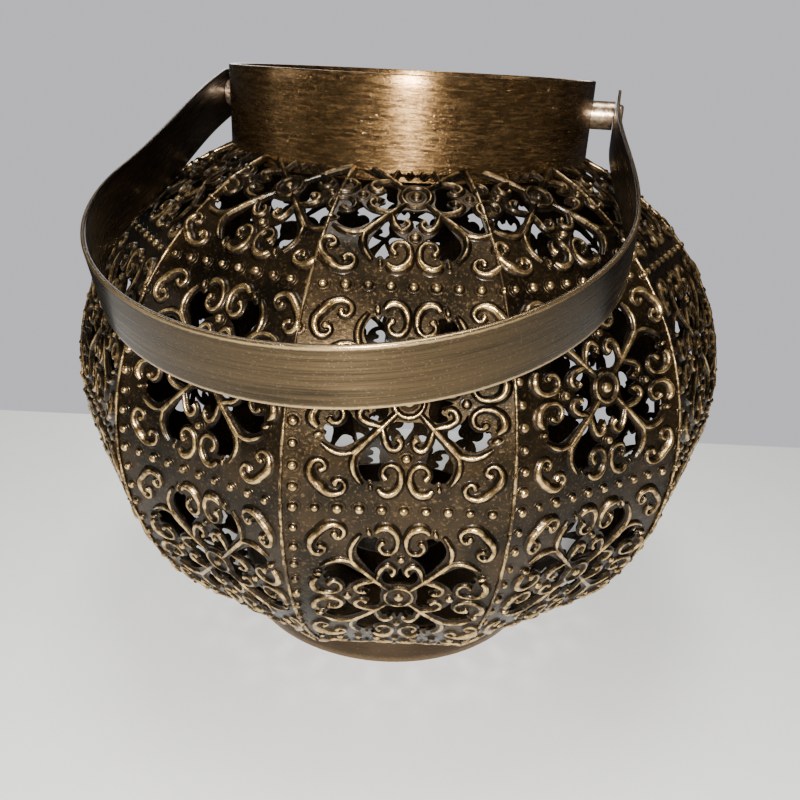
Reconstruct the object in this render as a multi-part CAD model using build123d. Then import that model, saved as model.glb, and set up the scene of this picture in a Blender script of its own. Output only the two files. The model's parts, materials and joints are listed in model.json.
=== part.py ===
"""Pierced sheet-metal candle lantern with a swinging bail handle.

Twelve stamped panels, flat across and curved from top to bottom, are soldered edge to edge
into a squashed globe. A plain collar closes the top, a plain ring carries it, and a strap
bail turns on two rivets through the collar.

Frame: millimetres, +Z up, origin at the centre of the base ring's lower face.
The bail's pivot axis lies along X, and at rest the bail lies forward, towards -Y.
"""
from build123d import *
import math
import os

# Panels: the globe is a stack of regular twelve-sided slices
panel_count = 12
body_apothem = 90.0          # from the axis to the middle of a panel at the widest slice
upper_arc = body_apothem - 21.9   # profile radius above the widest slice
lower_arc = body_apothem - 13.7   # profile radius below it
panel_sheet = 0.6
panel_turn = 14.5            # degrees from the bail's resting side to the nearest panel's middle

# Stamped pattern: square tiles, ten bead pitches on a side
bead_pitch = 4.62
tile_pitches = 10
pattern_shift = 1.5          # the die sits this far off the panel's centre line
seam_margin = 1.6            # plain metal kept between a light hole and a panel's edge

# Solder ridges along the seams
ridge_height = 0.5
ridge_width = 1.2

# Collar
collar_radius = 48.8
collar_wall = 0.9
collar_show = 20.3           # height that shows above the panels
collar_tuck = 2.0            # height hidden inside them

# Base ring
ring_radius = 49.6
ring_wall = 0.9
ring_show = 11.0
ring_tuck = 2.0
foot_width = 3.0             # inward flange that stands on the table
foot_sheet = 0.9

# Floor plate and candle cup
floor_height = 8.0           # top of the floor above the table
floor_sheet = 0.8
floor_rim = 4.0              # down-turned rim that is soldered to the ring
tealight_radius = 19.5
candle_clearance = 0.8
cup_wall = 0.5
cup_depth = 10.0

# Bail strap
strap_width = 12.7
strap_thickness = 1.0
strap_edge_round = 0.3
crown_radius = body_apothem - 34.6   # middle of the strap round the front of the loop
crown_reach = body_apothem + 30.2    # pivot axis to the middle of the strap at the crown
crown_offset = 6.0           # the hand-bent loop bows this far to one side
seat_length = 5.0            # flat stretch of each arm in front of its rivet
shoulder_slope = 28.79       # degrees below level of the line that the strap's lower edge may reach
shoulder_reach = 31.6        # pivot axis to where that edge comes nearest to the shoulder
rest_tilt = shoulder_slope - math.degrees(math.asin(strap_width / 2 / shoulder_reach))

# Pivots
pivot_rise = 12.2            # pivot axis above the foot of the collar
rivet_radius = 1.5
rivet_clearance = 0.08       # running fit between the rivet and the strap
pivot_play = 0.12            # side play each side of the strap
bush_radius = 3.5
bush_length = 5.5
head_radius = 2.9
head_height = 1.1
tail_radius = 2.4
tail_height = 0.8
washer_radius = 3.8
washer_sheet = 0.8

# Derived places
half_panel = 180.0 / panel_count
corner_scale = 1.0 / math.cos(math.radians(half_panel))


def rise_to(radius, arc):
    """Height between the widest slice and the slice whose panels are this far from the axis."""
    inset = body_apothem - radius
    return math.sqrt(arc**2 - (arc - inset) ** 2)


waist_z = ring_show + rise_to(ring_radius, lower_arc)
collar_foot_z = waist_z + rise_to(collar_radius, upper_arc)
collar_bottom_z = collar_foot_z - collar_tuck
collar_top_z = collar_foot_z + collar_show
pivot_z = collar_foot_z + pivot_rise
ring_top_z = ring_show + ring_tuck
collar_bore = collar_radius - collar_wall
ring_bore = ring_radius - ring_wall
strap_inner_x = collar_radius + bush_length + pivot_play
half_span = strap_inner_x + strap_thickness / 2
head_inner_x = half_span + strap_thickness / 2 + pivot_play
crown_centre_y = crown_radius - crown_reach


def cylinder_along_z(radius, low, high):
    return Pos(0, 0, (low + high) / 2) * Cylinder(radius, high - low)


def cylinder_along_x(radius, low, high):
    place = Pos((low + high) / 2, 0, pivot_z) * Rot(0, 90, 0)
    return place * Cylinder(radius, high - low)


def panel_profile():
    """Cross-section of the sheet in the XZ plane, from inside the collar to inside the ring."""
    reach = 80.0
    with BuildSketch(Plane.XZ) as sketch:
        with BuildLine():
            for arc, sweep in ((upper_arc, reach), (lower_arc, -reach)):
                centre = (body_apothem - arc, waist_z)
                outer = CenterArc(centre, arc, 0, sweep)
                inner = CenterArc(centre, arc - panel_sheet, 0, sweep)
                Line(outer @ 1, inner @ 1)
        make_face()
    return sketch.sketch


def tile_holes():
    """Light holes of one tile as (across, along, half width, half length, lean in degrees)."""
    holes = []
    for quarter in range(4):
        turn = 90.0 * quarter
        c = math.cos(math.radians(turn))
        s = math.sin(math.radians(turn))
        for side in (-1, 1):
            across, along = 1.42 * side, 2.5
            holes.append((across * c - along * s, across * s + along * c, 0.5, 1.2, turn - 13 * side))
        across, along = 0.0, 1.2
        holes.append((across * c - along * s, across * s + along * c, 0.62, 0.36, turn))
    return holes


def panel_hole_tools():
    """Elliptical cutters square to the sheet wherever a whole hole fits on the panel."""
    tile = tile_pitches * bead_pitch
    tools = []
    for row in (-1.5, -0.5, 0.5, 1.5):
        arc = upper_arc if row > 0 else lower_arc
        end_radius = collar_radius if row > 0 else ring_radius
        arc_length_end = arc * math.acos(1 - (body_apothem - end_radius) / arc)
        for across, along, half_w, half_l, lean in tile_holes():
            place_t = pattern_shift + across * bead_pitch
            place_s = row * tile + along * bead_pitch
            angle = place_s / arc
            apothem = body_apothem - arc * (1 - math.cos(angle))
            edge = apothem * math.tan(math.radians(half_panel))
            lean_rad = math.radians(lean)
            spread_t = bead_pitch * math.hypot(half_w * math.cos(lean_rad), half_l * math.sin(lean_rad))
            spread_s = bead_pitch * math.hypot(half_w * math.sin(lean_rad), half_l * math.cos(lean_rad))
            if abs(place_t) + spread_t + seam_margin > edge:
                continue
            if abs(place_s) + spread_s + seam_margin > arc_length_end:
                continue
            centre = (body_apothem - arc + arc * math.cos(angle), place_t, waist_z + arc * math.sin(angle))
            sheet_plane = Plane(centre, x_dir=(0, 1, 0), z_dir=(math.cos(angle), 0, math.sin(angle)))
            outline = Rot(0, 0, lean) * Ellipse(half_w * bead_pitch, half_l * bead_pitch)
            tools.append(extrude(sheet_plane * outline, 2 * panel_sheet, both=True))
    return tools


def wedge():
    """One panel's share of the circle, as a prism through the whole height."""
    far = 2 * body_apothem
    half_width = far * math.tan(math.radians(half_panel))
    outline = Polyline((0, 0), (far, -half_width), (far, half_width), close=True)
    return extrude(make_face(outline), 4 * body_apothem)


def trimmed(shape):
    """Cut back to butt on the outside of the collar and of the base ring."""
    collar_room = cylinder_along_z(collar_radius, waist_z, 4 * body_apothem)
    ring_room = cylinder_along_z(ring_radius, -body_apothem, waist_z)
    return shape - collar_room - ring_room


def panel():
    strip = extrude(panel_profile(), body_apothem, both=True)
    return trimmed(strip & wedge()) - panel_hole_tools()


def solder_ridge():
    """Ridge that caps one corner of the globe, in the XZ plane."""
    reach = 80.0
    with BuildSketch(Plane.XZ) as sketch:
        with BuildLine():
            for arc, sweep in ((upper_arc, reach), (lower_arc, -reach)):
                centre = ((body_apothem - arc) * corner_scale, waist_z)
                radius_x = arc * corner_scale
                corner = EllipticalCenterArc(centre, radius_x, arc, arc_size=sweep)
                crest = EllipticalCenterArc(centre, radius_x + ridge_height, arc + ridge_height, arc_size=sweep)
                Line(corner @ 1, crest @ 1)
        make_face()
    return trimmed(extrude(sketch.sketch, ridge_width / 2, both=True))


def collar():
    tube = cylinder_along_z(collar_radius, collar_bottom_z, collar_top_z)
    tube -= cylinder_along_z(collar_bore, collar_bottom_z, collar_top_z)
    rim = tube.edges().filter_by(GeomType.CIRCLE).group_by(Axis.Z)[-1]
    tube = fillet(rim, collar_wall / 3)
    return tube - cylinder_along_x(rivet_radius, -2 * collar_radius, 2 * collar_radius)


def base_ring():
    tube = cylinder_along_z(ring_radius, 0, ring_top_z)
    tube -= cylinder_along_z(ring_bore, foot_sheet, ring_top_z)
    tube -= cylinder_along_z(ring_bore - foot_width, 0, foot_sheet)
    outer_foot = tube.edges().filter_by(GeomType.CIRCLE).group_by(Axis.Z)[0].sort_by(SortBy.LENGTH)[-1]
    return fillet(outer_foot, ring_wall / 3)


def floor_plate():
    plate = cylinder_along_z(ring_bore, floor_height - floor_rim, floor_height)
    return plate - cylinder_along_z(ring_bore - floor_sheet, floor_height - floor_rim, floor_height - floor_sheet)


def candle_cup():
    bore = tealight_radius + candle_clearance
    top = floor_height + cup_wall + cup_depth
    cup = cylinder_along_z(bore + cup_wall, floor_height, top)
    return cup - cylinder_along_z(bore, floor_height + cup_wall, top)


def strap_edge(offset):
    """One face of the strap seen from above, as the lines from left end to right end."""
    left_seat = (-half_span - offset, -seat_length)
    right_seat = (half_span + offset, -seat_length)
    radius = crown_radius + offset
    left_crown = (crown_offset - radius, crown_centre_y)
    right_crown = (crown_offset + radius, crown_centre_y)
    tip = (crown_offset, crown_centre_y - radius)
    Line((left_seat[0], strap_width / 2), left_seat)
    Spline(left_seat, left_crown, tangents=[(0, -1), (0, -1)])
    ThreePointArc(left_crown, tip, right_crown)
    Spline(right_crown, right_seat, tangents=[(0, 1), (0, 1)])
    Line(right_seat, (right_seat[0], strap_width / 2))


def bail_handle():
    half = strap_thickness / 2
    with BuildSketch() as sketch:
        with BuildLine():
            strap_edge(half)
            strap_edge(-half)
            for side in (-1, 1):
                Line((side * (half_span - half), strap_width / 2), (side * (half_span + half), strap_width / 2))
        make_face()
    strap = extrude(sketch.sketch, strap_width / 2, both=True)
    side_view = Pos(-crown_reach, 0) * Rectangle(2 * crown_reach, strap_width)
    side_view += Circle(strap_width / 2)
    strap &= extrude(Plane.YZ * side_view, 2 * crown_radius, both=True)
    strap = fillet(strap.edges().filter_by(lambda edge: edge.length > strap_width + 1), strap_edge_round)
    strap = Pos(0, 0, pivot_z) * Rot(rest_tilt, 0, 0) * strap
    hole = rivet_radius + rivet_clearance
    return strap - cylinder_along_x(hole, -2 * half_span, 2 * half_span)


def pivot_rivet():
    """Right-hand rivet: low domed head outside the strap, upset tail inside the washer."""
    tail_x = collar_bore - washer_sheet - collar_radius + math.sqrt(collar_radius**2 - washer_radius**2)
    shank = cylinder_along_x(rivet_radius, tail_x - tail_height, head_inner_x)
    head = cylinder_along_x(head_radius, head_inner_x, head_inner_x + head_height)
    head = fillet(head.edges().sort_by(Axis.X)[-1], 0.8 * head_height)
    tail = cylinder_along_x(tail_radius, tail_x - tail_height, tail_x)
    tail = fillet(tail.edges().sort_by(Axis.X)[0], 0.6 * tail_height)
    return shank + head + tail


def spacer_bush():
    """Bush between the collar and the strap, its inner end saddled to the collar."""
    bush = cylinder_along_x(bush_radius, collar_radius - collar_wall, collar_radius + bush_length)
    bush -= cylinder_along_z(collar_radius, 0, 2 * collar_top_z)
    return bush - cylinder_along_x(rivet_radius, 0, 2 * collar_radius)


def backing_washer():
    """Washer inside the collar, its outer face saddled to the collar's bore."""
    flat_x = collar_bore - washer_sheet - collar_radius + math.sqrt(collar_radius**2 - washer_radius**2)
    washer = cylinder_along_x(washer_radius, flat_x, collar_radius)
    washer &= cylinder_along_z(collar_bore, 0, 2 * collar_top_z)
    return washer - cylinder_along_x(rivet_radius, 0, 2 * collar_radius)


def mirrored_pair(name, right):
    return {f"right_{name}": right, f"left_{name}": mirror(right, Plane.YZ)}


def all_nodes():
    nodes = {}
    one_panel = panel()
    one_ridge = solder_ridge()
    ridges = []
    for index in range(panel_count):
        heading = panel_turn - 90.0 + 360.0 * index / panel_count
        nodes[f"panel_{index + 1:02d}"] = Rot(0, 0, heading) * one_panel
        ridges.append(Rot(0, 0, heading + half_panel) * one_ridge)
    nodes["seam_solder"] = Compound(children=[Compound(ridge) for ridge in ridges])
    nodes["collar"] = collar()
    nodes["base_ring"] = base_ring()
    nodes["floor_plate"] = floor_plate()
    nodes["candle_cup"] = candle_cup()
    nodes["bail_handle"] = bail_handle()
    nodes.update(mirrored_pair("pivot_rivet", pivot_rivet()))
    nodes.update(mirrored_pair("spacer_bush", spacer_bush()))
    nodes.update(mirrored_pair("backing_washer", backing_washer()))
    return nodes


os.makedirs("parts", exist_ok=True)
for node_name, shape in all_nodes().items():
    export_step(shape, f"parts/{node_name}.step")
    print(node_name, len(shape.solids()), "solids", round(shape.volume, 1), "mm3")
print("pivot height", round(pivot_z, 2), "collar top", round(collar_top_z, 2), "waist", round(waist_z, 2))
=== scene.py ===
# %% [markdown]
# # A pierced candle lantern, built around its CAD frame
#
# The real lantern is twelve stamped strips of thin metal, soldered edge to edge into a
# squashed globe, with a plain collar, a plain base ring and a strap bail. The CAD model
# already holds every size and the bail's joint. This lesson adds what the eye sees: the
# raised scrolls, the beads, the scroll-shaped light holes, the rubbed antique finish.
#
# The first cell loads the frame and keeps its parts, whose boxes give the sizes below.

import json
import math

import bmesh
import bpy
import numpy as np
from mathutils import Matrix, Vector
from mathutils.geometry import delaunay_2d_cdt


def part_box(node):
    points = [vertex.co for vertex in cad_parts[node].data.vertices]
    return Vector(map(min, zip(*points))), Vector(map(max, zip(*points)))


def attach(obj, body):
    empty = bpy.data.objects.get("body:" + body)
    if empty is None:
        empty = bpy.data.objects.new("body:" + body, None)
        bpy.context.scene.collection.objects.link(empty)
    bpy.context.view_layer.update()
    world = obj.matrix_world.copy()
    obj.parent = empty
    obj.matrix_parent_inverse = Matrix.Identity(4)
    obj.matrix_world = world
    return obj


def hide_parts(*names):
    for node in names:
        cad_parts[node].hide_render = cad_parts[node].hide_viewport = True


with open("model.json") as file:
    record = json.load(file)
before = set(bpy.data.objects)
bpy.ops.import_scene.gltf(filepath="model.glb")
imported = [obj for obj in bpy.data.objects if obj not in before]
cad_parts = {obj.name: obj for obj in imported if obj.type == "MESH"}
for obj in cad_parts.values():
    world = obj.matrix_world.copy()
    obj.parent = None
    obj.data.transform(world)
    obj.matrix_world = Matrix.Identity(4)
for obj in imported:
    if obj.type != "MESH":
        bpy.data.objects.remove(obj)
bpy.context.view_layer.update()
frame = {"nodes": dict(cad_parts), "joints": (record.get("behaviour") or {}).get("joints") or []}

# %% [markdown]
# ## Sizes
#
# Sizes could be typed in wherever they are used, but then two pieces that meet would
# drift apart as soon as one is edited. So the places come from the frame's own boxes,
# and the few sizes that a box can't tell are named once, here, in metres.

# %% Sizes from the frame, and the few that a box can't give
MM = 0.001
globe_low, globe_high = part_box("seam_solder")
collar_low, collar_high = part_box("collar")
ring_low, ring_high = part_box("base_ring")
bail_joint = frame["joints"][0]
pivot = Vector(bail_joint["pos_m"])

panel_count = 12
half_panel = math.pi / panel_count
panel_turn = math.radians(14.5)      # nearest panel's middle, from the bail's resting side
solder_proud = 0.5 * MM              # how far the solder stands off the corners
corner_radius = (globe_high.x - globe_low.x) / 2 - solder_proud
apothem = 90.0 * MM                  # axis to the middle of a panel at the waist
upper_arc = 68.1 * MM                # profile radius above the waist
lower_arc = 76.3 * MM                # profile radius below it
collar_radius = (collar_high.x - collar_low.x) / 2
ring_radius = (ring_high.x - ring_low.x) / 2
ring_show = 11.0 * MM
waist = ring_show + math.sqrt(lower_arc**2 - (lower_arc - apothem + ring_radius) ** 2)
sheet = 0.55 * MM
panel_end = 0.45 * MM                # depth that a panel's end goes into the collar or ring
panel_cut = 0.60 * MM                # depth at which scrolls and beads are cut away there
solder_end = 0.30 * MM               # depth that the solder goes in
print(f"corner radius {corner_radius:.4f}, waist at {waist:.4f}, pivot at {pivot.z:.4f}")

# %% [markdown]
# ## Writing node trees as sums
#
# Node trees are usually dragged together by hand. In a script they read better as
# arithmetic, so one small class wraps a socket and turns +, -, * and / into Math nodes,
# and one method adds any other node from its type, its settings and its inputs. What is
# wanted again and again gets a short name. All of it serves shaders and geometry alike.


# %% A socket that can be used in sums
class Wire:
    """An output socket. Arithmetic on it adds Math nodes to its graph."""

    def __init__(self, graph, socket):
        self.graph = graph
        self.socket = socket

    def math(self, operation, *others):
        values = dict(enumerate((self,) + others))
        return self.graph.add("ShaderNodeMath", {"operation": operation}, values)

    def __add__(self, other):
        return self.math("ADD", other)

    def __mul__(self, other):
        return self.math("MULTIPLY", other)

    def __sub__(self, other):
        return self.math("SUBTRACT", other)

    def __truediv__(self, other):
        return self.math("DIVIDE", other)

    def __rsub__(self, other):
        return (self * -1) + other

    __radd__ = __add__
    __rmul__ = __mul__

    def ramp(self, low, high):
        """0 below low, 1 above high, smooth between."""
        settings = {"interpolation_type": "SMOOTHSTEP"}
        values = {"Value": self, "From Min": low, "From Max": high}
        return self.graph.add("ShaderNodeMapRange", settings, values)


class Graph:
    """A node tree, built one node at a time."""

    def __init__(self, tree):
        self.tree = tree
        tree.nodes.clear()

    def add(self, kind, settings=None, values=None, out=0):
        node = self.tree.nodes.new(kind)
        for name, setting in (settings or {}).items():
            setattr(node, name, setting)
        for name, value in (values or {}).items():
            if isinstance(value, Wire):
                self.tree.links.new(value.socket, node.inputs[name])
            elif value is not None:
                node.inputs[name].default_value = value
        if isinstance(out, tuple):
            return tuple(Wire(self, node.outputs[name]) for name in out)
        return Wire(self, node.outputs[out]) if node.outputs else node

    def axes(self, vector):
        """The three numbers of a vector."""
        return self.add("ShaderNodeSeparateXYZ", {}, {"Vector": vector}, ("X", "Y", "Z"))

    def vector(self, x=0.0, y=0.0, z=0.0):
        """A vector from three numbers."""
        return self.add("ShaderNodeCombineXYZ", {}, {"X": x, "Y": y, "Z": z})

    def kept(self, name):
        """For a finish: a number that the mesh keeps at each point."""
        return self.add("ShaderNodeAttribute", {"attribute_name": name}, out="Fac")

    def keep(self, geometry, name, number):
        """For a rule: writes such a number."""
        values = {"Geometry": geometry, "Name": name, "Value": number}
        return self.add("GeometryNodeStoreNamedAttribute", {}, values)

    def vector_at_points(self, name):
        """For a rule: a vector that each point brings with it."""
        settings = {"data_type": "FLOAT_VECTOR"}
        return self.add("GeometryNodeInputNamedAttribute", settings, {"Name": name}, "Attribute")

    def shape_of(self, source):
        """The geometry of an object."""
        return self.add("GeometryNodeObjectInfo", {}, {"Object": source}, "Geometry")

    def lay(self, points, instance, **how):
        """A real copy of instance at every point."""
        values = {"Points": points, "Instance": instance, **how}
        laid = self.add("GeometryNodeInstanceOnPoints", {}, values)
        return self.add("GeometryNodeRealizeInstances", {}, {"Geometry": laid})


# %% [markdown]
# ## A finish is a graph with a name
#
# Every finish here is metal, so they share one opening: a Principled shader with the
# object's own coordinates feeding its noise. Object coordinates stay put when the
# camera moves, and don't need an unwrapped mesh.


# %% Start a finish
def metal_finish(name, coat, brushed, build):
    """A metal material. build(graph, position) gives colour, roughness, height and metallic.

    brushed, from 0 to 1, is how much more a highlight spreads across the brushing."""
    material = bpy.data.materials.new(name)
    material.use_nodes = True
    graph = Graph(material.node_tree)
    position = graph.add("ShaderNodeTexCoord", out="Object")
    colour, roughness, height, metallic = build(graph, position)
    bump = graph.add("ShaderNodeBump", {}, {"Height": height, "Strength": 1.0, "Distance": 1.0})
    values = {
        "Base Color": colour,
        "Roughness": roughness,
        "Metallic": metallic,
        "Normal": bump,
        "Coat Weight": coat,
        "Coat Roughness": 0.12,
        "Anisotropic": brushed,
        "Anisotropic Rotation": 0.25,
    }
    shader = graph.add("ShaderNodeBsdfPrincipled", {}, values)
    graph.add("ShaderNodeOutputMaterial", {}, {"Surface": shader})
    return material


def noise(graph, position, scale, detail=3.0, roughness=0.55, stretch=(1, 1, 1)):
    """Noise from 0 to 1, its scale in grains per metre, stretched along the axes."""
    place = graph.add("ShaderNodeMapping", {}, {"Vector": position, "Scale": stretch})
    values = {"Vector": place, "Scale": scale, "Detail": detail, "Roughness": roughness}
    return graph.add("ShaderNodeTexNoise", {}, values)


def blend_colour(graph, factor, first, second):
    """first where factor is 0, second where it is 1."""
    values = {"Factor": factor, 6: first, 7: second}
    return graph.add("ShaderNodeMix", {"data_type": "RGBA"}, values, out=2)


def rgb(red, green, blue):
    return (red, green, blue, 1.0)


# %% [markdown]
# ## The antique finish
#
# Antiqued brass is made by darkening the whole piece and then rubbing the high places
# bright again, so the colour follows the relief. Painting it by hand would never line
# up with the scrolls. Instead each panel carries a number called relief, 0 on the
# ground, 1 on the crests and less than 0 in the ditches beside them. The finish turns
# that number into gold, broken up by noise, because a rubbing cloth skips, and paints
# the ditches near black, partly for the wax left there and partly as painted shade.


# %% Antique sheet, dark in the ground and gold on the crests
under_collar = (0.118, 0.141)        # heights between which a cloth reaches less and less


def antique_sheet(graph, position):
    relief = graph.kept("relief")
    cloudy = noise(graph, position, 90.0)
    grainy = noise(graph, position, 1500.0, 2.0)
    skips = noise(graph, position, 420.0, 4.0, 0.65)
    _, _, height = graph.axes(position)
    out_of_reach = height.ramp(*under_collar) * 0.32
    worn = (relief + (skips - 0.5) * 1.3 + (cloudy - 0.5) * 0.8 - out_of_reach).ramp(0.5, 1.15)
    ditch_wax_and_shade = (relief * -1).ramp(0.05, 0.45)
    ground = blend_colour(graph, cloudy.ramp(0.3, 0.75), rgb(0.010, 0.007, 0.003), rgb(0.040, 0.025, 0.011))
    ground = blend_colour(graph, grainy.ramp(0.54, 0.76) * 0.5, ground, rgb(0.18, 0.110, 0.048))
    # painted shade and dark wax: the ditches at the ridges' feet are darkened in the colour
    ground = blend_colour(graph, ditch_wax_and_shade * 0.75, ground, rgb(0.006, 0.004, 0.003))
    gold = blend_colour(graph, skips.ramp(0.3, 0.7), rgb(0.20, 0.120, 0.045), rgb(0.74, 0.50, 0.215))
    colour = blend_colour(graph, worn, ground, gold)
    roughness = 0.44 - worn * 0.19 + (grainy - 0.5) * 0.2
    bumps = grainy * 0.00006 + skips * 0.00013
    return colour, roughness, bumps, 0.92


antique = metal_finish("antique_sheet", 0.10, 0.0, antique_sheet)


# %% [markdown]
# ## Solder, copper, bronze and brass
#
# The seams are drawn lines of solder, bright where the cloth caught them. The collar is
# brushed round and round with a metallic lacquer that glitters. The base ring has the
# body's darker bronze. The strap is satin brass brushed lengthwise. Each is the same
# recipe of colour, roughness and a little height, with the brushing made by noise that
# is squeezed in one direction.


# %% Brushing directions
def turned(graph, position):
    """Position as (angle round the axis, height, radius), for marks that run round."""
    x, y, z = graph.axes(position)
    angle = y.math("ARCTAN2", x)
    radius = (x * x + y * y).math("SQRT")
    return graph.vector(angle, z, radius)


def flakes(graph, position, grains_per_metre):
    """A sparse bright fleck, 0 or 1, as in metallic lacquer."""
    settings = {"feature": "F1"}
    values = {"Vector": position, "Scale": grains_per_metre}
    colour = graph.add("ShaderNodeTexVoronoi", settings, values, "Color")
    return graph.add("ShaderNodeSeparateColor", {}, {"Color": colour}, "Red")


# %% Solder, copper and bronze
def rubbed_solder(graph, position):
    patches = noise(graph, position, 110.0, 4.0, 0.6)
    grains = noise(graph, position, 1400.0, 2.0)
    worn = (patches + (grains - 0.5) * 0.5).ramp(0.44, 0.62)
    colour = blend_colour(graph, worn, rgb(0.060, 0.037, 0.018), rgb(0.50, 0.345, 0.160))
    return colour, 0.44 - worn * 0.14, grains * 0.00007 + patches * 0.00015, 0.92


def polished_copper(graph, position):
    around = turned(graph, position)
    streaks = noise(graph, around, 1.0, 5.0, 0.75, (13.0, 1900.0, 300.0)).ramp(0.28, 0.72)
    speck = flakes(graph, position, 3600.0)
    cloudy = noise(graph, position, 45.0)
    colour = blend_colour(graph, streaks, rgb(0.040, 0.019, 0.007), rgb(0.280, 0.160, 0.062))
    colour = blend_colour(graph, speck.ramp(0.72, 0.98) * 0.3, colour, rgb(0.62, 0.39, 0.15))
    roughness = 0.26 + (streaks - 0.5) * 0.08 + (cloudy - 0.5) * 0.05
    height = streaks * 0.000008 + speck * 0.000026
    return colour, roughness, height, 0.95


def bronze_ring(graph, position):
    around = turned(graph, position)
    streaks = noise(graph, around, 1.0, 4.0, 0.6, (10.0, 1800.0, 300.0))
    grains = noise(graph, position, 1100.0, 2.0)
    _, _, above_table = graph.axes(position)
    foot = 1 - (above_table + (grains - 0.5) * 0.0022).ramp(0.0006, 0.0024)
    colour = blend_colour(graph, streaks, rgb(0.026, 0.016, 0.008), rgb(0.080, 0.050, 0.026))
    colour = blend_colour(graph, grains.ramp(0.58, 0.8) * 0.4, colour, rgb(0.17, 0.11, 0.055))
    colour = blend_colour(graph, foot, colour, rgb(0.15, 0.095, 0.048))
    return colour, 0.36 + (streaks - 0.5) * 0.2, streaks * 0.000015 + grains * 0.00003, 0.93


solder = metal_finish("rubbed_solder", 0.1, 0.0, rubbed_solder)
copper = metal_finish("polished_copper", 0.08, 0.6, polished_copper)
bronze = metal_finish("bronze_ring", 0.1, 0.4, bronze_ring)


# %% Brushed brass for the strap, and copper for its fittings
def brushed_brass(graph, position):
    """The strap keeps along and across, so that the brushing follows its bend."""
    along = graph.kept("along")
    across = graph.kept("across")
    inner = graph.kept("inner")
    edge = graph.kept("edge")
    flat = graph.vector(along, across, inner)
    brushing = noise(graph, flat, 1.0, 5.0, 0.72, (28.0, 1300.0, 50.0)).ramp(0.3, 0.7)
    broad = noise(graph, flat, 1.0, 2.0, 0.5, (22.0, 260.0, 50.0))
    speck = flakes(graph, position, 4200.0)
    grains = noise(graph, position, 900.0, 3.0)
    worn = (edge + (grains - 0.5) * 0.5).ramp(0.35, 0.85)
    colour = blend_colour(graph, brushing, rgb(0.019, 0.013, 0.006), rgb(0.094, 0.062, 0.028))
    colour = blend_colour(graph, broad.ramp(0.35, 0.7) * 0.3, colour, rgb(0.130, 0.085, 0.038))
    colour = blend_colour(graph, speck.ramp(0.92, 1.0) * 0.10, colour, rgb(0.60, 0.45, 0.28))
    colour = blend_colour(graph, worn, colour, rgb(0.42, 0.29, 0.145))
    # painted shade: the strap's inner face, turned away from the lights, is darkened in the colour
    colour = blend_colour(graph, inner, colour, rgb(0.018, 0.011, 0.007))
    roughness = 0.31 + (brushing - 0.5) * 0.20 - worn * 0.05
    height = brushing * 0.000014 + speck * 0.000008
    return colour, roughness, height, 0.94


def copper_fitting(graph, position):
    speck = flakes(graph, position, 1700.0)
    grains = noise(graph, position, 700.0, 3.0)
    colour = blend_colour(graph, grains.ramp(0.3, 0.7), rgb(0.20, 0.115, 0.060), rgb(0.60, 0.46, 0.32))
    colour = blend_colour(graph, speck.ramp(0.7, 0.95) * 0.6, colour, rgb(0.85, 0.66, 0.44))
    return colour, 0.38 - grains * 0.1, speck * 0.00003 + grains * 0.00004, 0.93


brass = metal_finish("brushed_brass", 0.08, 0.8, brushed_brass)
fitting = metal_finish("copper_fittings", 0.2, 0.0, copper_fitting)
print("finishes", [m.name for m in (antique, solder, copper, bronze, brass, fitting)])


# %% [markdown]
# ## A panel is drawn flat first
#
# The real strips are stamped flat and then bent, and bending is easy to copy, because a
# strip curves up and down but not across. So everything on a panel is made on a flat
# sheet: x runs across, y runs up from the waist, z is the height of the relief. A node
# tree bends the finished flat panel onto the globe, and a second use of the same tree
# would bend any other pattern. Here are the two rules that the flat drawing needs.


# %% The rule of the globe
def apothem_at(rise):
    """Distance from the axis to a panel's middle, at a length rise along the profile."""
    arc = upper_arc if rise > 0 else lower_arc
    return apothem - arc + arc * math.cos(rise / arc)


def rise_at(distance, side):
    """The inverse: where the profile comes this near the axis, above (1) or below (-1)."""
    arc = upper_arc if side > 0 else lower_arc
    return side * arc * math.acos((distance - apothem + arc) / arc)


half_width = apothem * math.tan(half_panel)
print(f"a panel is {2 * half_width * 1000:.1f} mm wide at the waist")

# %% [markdown]
# ## One tile of the pattern
#
# The pattern is a square tile, ten beads to a side, that looks the same from all four
# sides and in a mirror. So only an eighth is drawn, as a few strokes with a width at
# each point, in bead pitches from the tile's centre. The rest are turned copies.

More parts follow.
